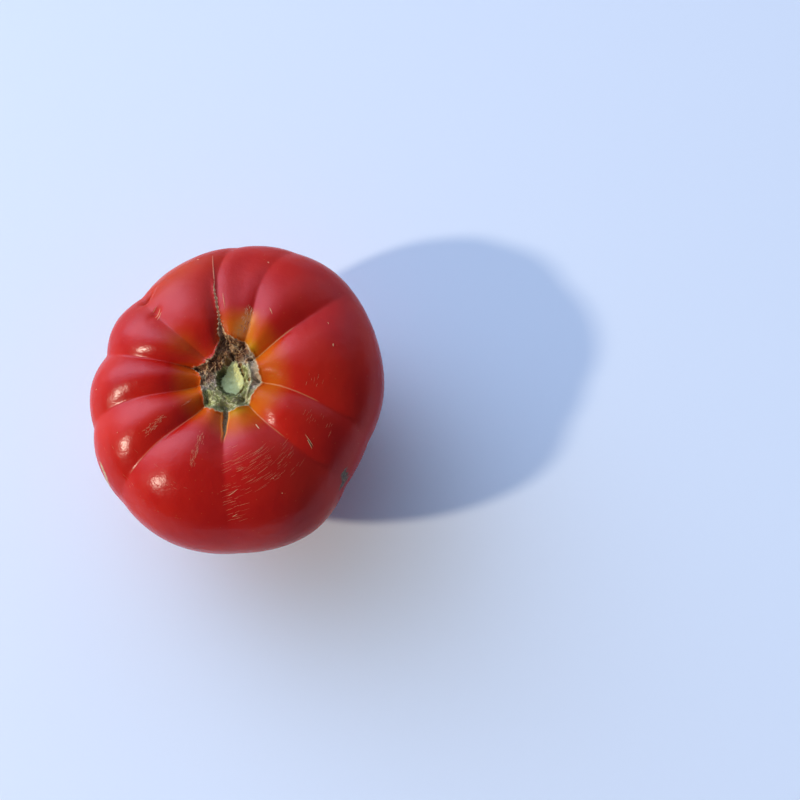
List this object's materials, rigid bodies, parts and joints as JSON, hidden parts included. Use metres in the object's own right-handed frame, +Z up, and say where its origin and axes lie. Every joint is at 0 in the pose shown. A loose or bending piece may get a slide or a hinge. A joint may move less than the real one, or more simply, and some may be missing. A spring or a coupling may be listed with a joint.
{
  "type": "oxheart tomato",
  "caption": "Large ribbed heirloom tomato with broad shoulders, a sunk corky stem scar and a blunt tapered underside; rests on its blossom end.",
  "frame": {"origin": "on the table under the middle of the fruit's box, at the blossom end", "axes": "+Z up from the blossom end to the stem scar; +Y along the fruit's wider diameter; +X to the right with the corky seam at the back"},
  "size_m": [0.0993, 0.1075, 0.0702],
  "materials": {
    "skin": "waxy glossy red skin, amber on the shoulders, with a matt brown and grey-green corky scar where the stalk was"
  },
  "bodies": {
    "root": {"tomato": "skin"}
  },
  "joints": []
}
